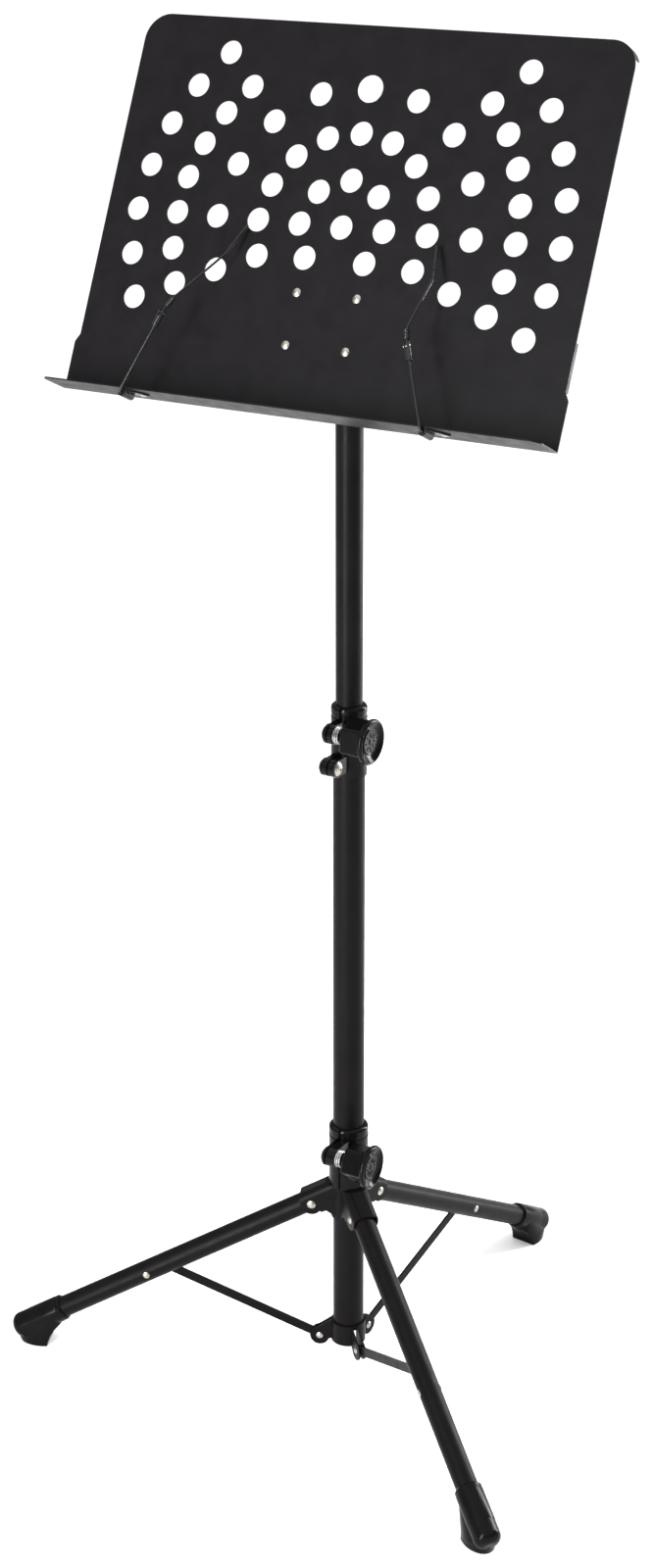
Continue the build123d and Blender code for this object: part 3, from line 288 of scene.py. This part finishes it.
def finish_piece(name, build, body, slot, nodes=()):
    """Turns a bmesh in the shared frame into a shaded piece that rides a CAD body."""
    bmesh.ops.recalc_face_normals(build, faces=build.faces)
    mesh = bpy.data.meshes.new(name)
    build.to_mesh(mesh)
    build.free()
    mesh.shade_smooth()
    mesh.set_sharp_from_angle(angle=SHARP_ANGLE)
    obj = bpy.data.objects.new(name, mesh)
    bpy.context.scene.collection.objects.link(obj)
    dress(obj, slot)
    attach(obj, body)
    if nodes:
        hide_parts(*nodes)
    return obj


def axes_about(axis):
    """Two directions square to an axis and to each other."""
    axis = Vector(axis).normalized()
    helper = UP if abs(axis.z) < NEAR_UPRIGHT else Vector((1, 0, 0))
    u = helper.cross(axis).normalized()
    return u, axis.cross(u)


def circle(centre, u, v, radius, segments):
    """Points round a circle in the plane of u and v."""
    points = []
    for i in range(segments):
        angle = 2 * math.pi * i / segments
        points.append(centre + (u * math.cos(angle) + v * math.sin(angle)) * radius)
    return points


def loft(build, rings, close_start=True, close_end=True):
    """Skin through rings of points, each ring with the same number of points."""
    rows = [[build.verts.new(p) for p in ring] for ring in rings]
    count = len(rows[0])
    for a, b in zip(rows, rows[1:]):
        for i in range(count):
            j = (i + 1) % count
            build.faces.new((a[i], a[j], b[j], b[i]))
    if close_start:
        build.faces.new(list(reversed(rows[0])))
    if close_end:
        build.faces.new(rows[-1])


def bar_along(build, points, radius, segments):
    """Round bar through a line of points, with its ends drawn in."""
    last = len(points) - 1
    rings = []
    side = axes_about(points[1] - points[0])[0]
    for k, point in enumerate(points):
        ahead = points[min(k + 1, last)] - points[max(k - 1, 0)]
        ahead.normalize()
        side = (side - ahead * side.dot(ahead)).normalized()
        up = ahead.cross(side)
        if k == 0:
            for share, reach in BAR_TIP:
                rings.append(circle(point - ahead * (radius * reach), side, up, radius * share, segments))
        elif k == last:
            for share, reach in reversed(BAR_TIP):
                rings.append(circle(point + ahead * (radius * reach), side, up, radius * share, segments))
        else:
            rings.append(circle(point, side, up, radius, segments))
    loft(build, rings)


# --- clamp knobs ------------------------------------------------------------------------

KNOB_SIDES = 5
KNOB_SEGMENTS = 160
CORNER_EASE = 0.975          # how much of a barrel corner is left after it is rounded
BOLT_RADIUS = 0.003
BORE_FIT = 1.06              # the bore's radius over the bolt's
BORE_DEPTH = 0.8             # share of the barrel that the bore goes into
BORE_TIP = 0.2               # radii of the bore's end and mouth and length of its bevel, over its radius
BORE_MOUTH = 1.25
BORE_BEVEL = 0.3
RIM_FRONT = 0.95             # radius of the rim's foremost edge, as a share of the rim's
SMALL_BOSS = {"boss": 0.186, "rim": 0.199, "boss_radius": 0.33, "barrel_radius": 0.944}
WIDE_BOSS = {"boss": 0.136, "rim": 0.227, "boss_radius": 0.40, "barrel_radius": 0.907}
# boss and rim as shares of the whole length, the two radii as shares of the rim's,
# the angle of one flat above the horizontal, in degrees, and the number of ribs in the dish
KNOB_SHAPES = {
    "mid_knob": {**SMALL_BOSS, "phase": 6.5, "ribs": 8},
    "hub_knob": {**SMALL_BOSS, "phase": 29.0, "ribs": 12},
    "tilt_knob": {**WIDE_BOSS, "phase": 0.0, "ribs": 8},
}
# distance along and radius, as shares of the boss's
BOSS_PROFILE = ((0.0, 0.9), (0.08, 1.0), (0.92, 1.0), (1.0, 1.1))
# ring on the barrel's back: share of the barrel's radius, and how far its flats show (1 full, 0 round)
BACK_RADIUS = 0.7
BACK_FACET = 0.8
# distance along and radius, as shares of the barrel's, and how far the flats show
BARREL_PROFILE = (
    (0.0, 0.88, 1.0), (0.008, 0.925, 1.0), (0.03, 0.955, 1.0), (0.07, 0.965, 1.0), (0.30, 0.965, 1.0),
    (0.60, 0.97, 1.0), (0.85, 0.98, 1.0), (0.97, 0.99, 0.95))
# the same for the outside of the rim, its rolled edge, the dish and the ring round the dish's middle
RIM_PROFILE = (
    (0.04, 0.93, 0.80), (0.14, 0.945, 0.45), (0.24, 0.965, 0.15), (0.34, 0.982, 0.0), (0.48, 0.996, 0.0),
    (0.62, 1.0, 0.0), (0.76, 0.99, 0.0), (0.88, 0.968, 0.0), (0.96, 0.938, 0.0), (1.0, 0.905, 0.0),
    (0.985, 0.885, 0.0), (0.93, 0.868, 0.0), (0.86, 0.85, 0.0), (0.55, 0.60, 0.0), (0.53, 0.575, 0.0),
    (0.57, 0.56, 0.0), (0.64, 0.545, 0.0), (0.65, 0.52, 0.0), (0.61, 0.50, 0.0), (0.60, 0.47, 0.0))
FACE_SHARE = 0.60            # where the dish's middle lies along the rim
RELIEF_RADIUS = 0.47         # of the relief, and its height, as shares of the rim's radius
RELIEF_HEIGHT = 0.022
# distance from the middle, half width and height of a rib, as shares of the relief's
RIB_PROFILE = (
    (0.42, 0.03, 0.3), (0.46, 0.055, 0.9), (0.60, 0.07, 1.0), (0.80, 0.08, 1.0), (0.86, 0.06, 0.9),
    (0.90, 0.03, 0.3))
RIB_SHOULDER = 0.6           # share of a rib's width and height where its top starts to round over
# radius and height of the dome in the middle of the dish, as shares of the relief's
DOME_PROFILE = ((0.30, -1.0), (0.30, 0.4), (0.27, 0.85), (0.20, 1.1), (0.08, 1.25))
DOME_SEGMENTS = 48


def knob_ring(centre, u, v, radius, facet, phase):
    """One section of a knob: a pentagon with eased corners, or a circle, or between the two."""
    half = math.pi / KNOB_SIDES
    points = []
    for i in range(KNOB_SEGMENTS):
        angle = 2 * math.pi * i / KNOB_SEGMENTS
        flat = math.cos(half) / math.cos((angle - phase + half) % (2 * half) - half)
        flat = min(flat, CORNER_EASE)
        r = radius * (facet * flat + (1 - facet))
        points.append(centre + (u * math.cos(angle) + v * math.sin(angle)) * r)
    return points


def rib_section(at, axis, across, half, height, root):
    """Section of a rib: straight sides from below the dish, and a top that rounds over."""
    shoulder = half * RIB_SHOULDER
    rise = height * RIB_SHOULDER
    outline = (
        (-half, -root), (-half, rise), (-shoulder, height), (shoulder, height), (half, rise), (half, -root))
    return [at + across * x + axis * z for x, z in outline]


def knob_relief(build, face, axis, u, v, radius, depth, ribs):
    """Plain raised decoration in the dish: short ribs round a domed boss."""
    for k in range(ribs):
        angle = 2 * math.pi * k / ribs
        out = u * math.cos(angle) + v * math.sin(angle)
        across = axis.cross(out)
        rings = []
        for share, width, height in RIB_PROFILE:
            at = face + out * (radius * share)
            rings.append(rib_section(at, axis, across, radius * width, depth * height, depth))
        loft(build, rings)
    rings = []
    for share, height in DOME_PROFILE:
        rings.append(circle(face + axis * depth * height, u, v, radius * share, DOME_SEGMENTS))
    loft(build, rings)


def make_knob(node, body, joint):
    """Clamp knob in place of a CAD knob: boss, five-sided barrel and a round rim with a dished face."""
    shape = KNOB_SHAPES[node]
    low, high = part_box(node)
    axis = Vector(JOINTS[joint]["axis"]).normalized()
    on_axis = Vector(JOINTS[joint]["pos_m"])
    rim_radius = (high.z - low.z) / 2
    barrel_radius = rim_radius * shape["barrel_radius"]
    boss_radius = rim_radius * shape["boss_radius"]
    lean = math.sqrt(max(0.0, 1 - axis.x * axis.x))
    start = (low.x + boss_radius * lean - on_axis.x) / axis.x
    end = (high.x - rim_radius * RIM_FRONT * lean - on_axis.x) / axis.x
    length = end - start
    boss = length * shape["boss"]
    rim = length * shape["rim"]
    barrel = length - boss - rim
    front = UP.cross(axis).normalized() * -1
    phase = math.radians(shape["phase"])

    def ring(distance, radius, facet):
        return knob_ring(on_axis + axis * (start + distance), front, UP, radius, facet, phase)

    bore = BOLT_RADIUS * BORE_FIT
    deep = boss + barrel * BORE_DEPTH
    rings = [ring(deep, bore * BORE_TIP, 0), ring(deep, bore, 0)]
    rings += [ring(bore * BORE_BEVEL, bore, 0), ring(0, bore * BORE_MOUTH, 0)]
    for along, radius in BOSS_PROFILE:
        rings.append(ring(boss * along, boss_radius * radius, 0))
    rings.append(ring(boss, barrel_radius * BACK_RADIUS, BACK_FACET))
    for along, radius, facet in BARREL_PROFILE:
        rings.append(ring(boss + barrel * along, barrel_radius * radius, facet))
    for along, radius, facet in RIM_PROFILE:
        rings.append(ring(boss + barrel + rim * along, rim_radius * radius, facet))
    build = bmesh.new()
    loft(build, rings)
    face = on_axis + axis * (start + boss + barrel + rim * FACE_SHARE)
    relief = rim_radius * RELIEF_RADIUS
    knob_relief(build, face, axis, front, UP, relief, rim_radius * RELIEF_HEIGHT, shape["ribs"])
    return finish_piece(node + "_moulding", build, body, "clamp_plastic", (node,))


# --- page holder coils ------------------------------------------------------------------

COIL_TURNS = 9
COIL_STEPS = 24                   # points in one turn
COIL_WIRE = 0.00055               # radius of the wire
COIL_PITCH = COIL_WIRE * 2.02
COIL_RADIUS = 0.00185
COIL_TAIL = 0.72                  # share of the radius that the first and last points start from
COIL_EASE = 10                    # points over which the wire comes out to the full radius
COIL_START = 0.0070               # distance from the elbow
COIL_LEAN = math.radians(18.0)    # how far the arm leans from the desk's face
COIL_SEGMENTS = 10


def make_coil(side):
    """Close-wound spring on the arm, just above the elbow."""
    lift = JOINTS["page_lift_" + side]
    swing = JOINTS["page_swing_" + side]
    elbow = Vector(lift["pos_m"])
    normal = Vector(swing["axis"]).normalized()
    along = normal.cross(Vector(lift["axis"])).normalized()
    axis = along * math.cos(COIL_LEAN) - normal * math.sin(COIL_LEAN)
    u, v = axes_about(axis)
    steps = COIL_TURNS * COIL_STEPS
    points = []
    for k in range(steps + 1):
        angle = 2 * math.pi * k / COIL_STEPS
        eased = min(1.0, k / COIL_EASE, (steps - k) / COIL_EASE)
        radius = COIL_RADIUS * (COIL_TAIL + (1 - COIL_TAIL) * eased)
        centre = elbow + axis * (COIL_START + COIL_PITCH * k / COIL_STEPS)
        points.append(centre + (u * math.cos(angle) + v * math.sin(angle)) * radius)
    build = bmesh.new()
    bar_along(build, points, COIL_WIRE, COIL_SEGMENTS)
    return finish_piece("page_coil_" + side, build, "arm_" + side, "wire_steel")


# --- foot cuffs -------------------------------------------------------------------------

LEG_DROP = math.radians(29.54)    # slope of an open leg below the horizontal
BOOT_RADIUS = 0.0131
CUFF_SEGMENTS = 96
CUFF_INSIDE = 0.94                # the cuff's inner radius as a share of its outer ends'
# distance from the boot's mouth and rise over the boot, both in metres
CUFF_PROFILE = (
    (0.0024, -0.0004), (0.0030, 0.0001), (0.0040, 0.00022), (0.0200, 0.00024), (0.0345, 0.00026),
    (0.0352, 0.00018), (0.0354, -0.0004))


def make_cuff(number):
    """Thicker upper part of a moulded foot, which ends in a fine step across the boot."""
    pivot = Vector(JOINTS[f"leg_fold_{number}"]["pos_m"])
    out = Vector((pivot.x, pivot.y, 0)).normalized()
    axis = out * math.cos(LEG_DROP) - UP * math.sin(LEG_DROP)
    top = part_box(f"leg_foot_{number}")[1].z
    mouth = (pivot.z + BOOT_RADIUS * math.cos(LEG_DROP) - top) / math.sin(LEG_DROP)
    u, v = axes_about(axis)

    def ring(along, radius):
        return circle(pivot + axis * (mouth + along), u, v, radius, CUFF_SEGMENTS)

    rings = [ring(along, BOOT_RADIUS + rise) for along, rise in CUFF_PROFILE]
    for along, rise in (CUFF_PROFILE[-1], CUFF_PROFILE[0]):
        rings.append(ring(along, (BOOT_RADIUS + rise) * CUFF_INSIDE))
    rings.append(rings[0])
    build = bmesh.new()
    loft(build, rings, close_start=False, close_end=False)
    bmesh.ops.remove_doubles(build, verts=build.verts, dist=MERGE_DISTANCE)
    return finish_piece(f"foot_cuff_{number}", build, f"leg_{number}", "foot_rubber")


# --- surroundings -----------------------------------------------------------------------

FLOOR_RADIUS = 60.0
FLOOR_SEGMENTS = 96
FLOOR_GAP = 0.0002       # the floor lies this far under the soles, so that the faces don't fight
FLOOR_GRAIN = 0.0002
WORLD_STRENGTH = 0.45
OVERHEAD_STRENGTH = 2.35
OVERHEAD_SPREAD = math.radians(100)
OVERHEAD_HEIGHT = 6
# name, place, the point it faces, width and height in metres, and power in watts
SOFTBOXES = (
    ("strip_front", (-0.35, -2.6, 1.15), (0, 0, 1.0), (0.5, 2.2), 170),
    ("strip_back", (1.35, 2.1, 1.3), (0, 0, 0.9), (0.6, 2.4), 130),
)


def make_floor():
    """Plain near-white floor that reaches to the horizon."""
    n = Nodes("floor")
    n.two_tone(n.noise(scale=1.5, detail=2.0), grey(0.93), grey(0.95))
    n.rough(n.noise(scale=6.0, detail=2.0), low=0.8, high=0.9)
    n.bump([(n.noise(scale=40.0, detail=3.0), FLOOR_GRAIN)])
    n.shader.inputs["Specular IOR Level"].default_value = 0.05
    build = bmesh.new()
    bmesh.ops.create_circle(build, cap_ends=True, segments=FLOOR_SEGMENTS, radius=FLOOR_RADIUS)
    mesh = bpy.data.meshes.new("floor")
    build.to_mesh(mesh)
    build.free()
    mesh.materials.append(n.material)
    floor = bpy.data.objects.new("floor", mesh)
    floor.location.z = cad_box[0].z - FLOOR_GAP
    bpy.context.scene.collection.objects.link(floor)


def aim(light, place, target):
    """Puts a light in the scene, turned to face a point and hidden from the camera."""
    light.location = place
    light.rotation_mode = "QUATERNION"
    light.rotation_quaternion = (Vector(target) - Vector(place)).to_track_quat("-Z", "Y")
    light.visible_camera = False
    bpy.context.scene.collection.objects.link(light)


def softbox(name, place, target, size, power):
    data = bpy.data.lights.new(name, "AREA")
    data.shape = "RECTANGLE"
    data.size, data.size_y = size
    data.energy = power
    aim(bpy.data.objects.new(name, data), place, target)


def make_lights():
    """White surroundings, an even overhead light for the floor, and the strip lights."""
    world = bpy.data.worlds.new("world")
    world.use_nodes = True
    background = world.node_tree.nodes["Background"]
    background.inputs["Color"].default_value = (1.0, 1.0, 1.0, 1)
    background.inputs["Strength"].default_value = WORLD_STRENGTH
    bpy.context.scene.world = world
    data = bpy.data.lights.new("overhead", "SUN")
    data.energy = OVERHEAD_STRENGTH
    data.angle = OVERHEAD_SPREAD
    aim(bpy.data.objects.new("overhead", data), (0, 0, OVERHEAD_HEIGHT), (0, 0, 0))
    for box in SOFTBOXES:
        softbox(*box)


def make_details():
    make_knob("mid_knob", "mid_clamp_knob", "mid_knob_turn")
    make_knob("hub_knob", "hub_clamp_knob", "hub_knob_turn")
    make_knob("tilt_knob", "tilt_clamp_knob", "tilt_knob_turn")
    for side in SIDES:
        make_coil(side)
    for number in LEGS:
        make_cuff(number)


make_camera()
dress_cad_nodes()
make_details()
make_floor()
make_lights()
bpy.context.scene.view_settings.view_transform = "Standard"
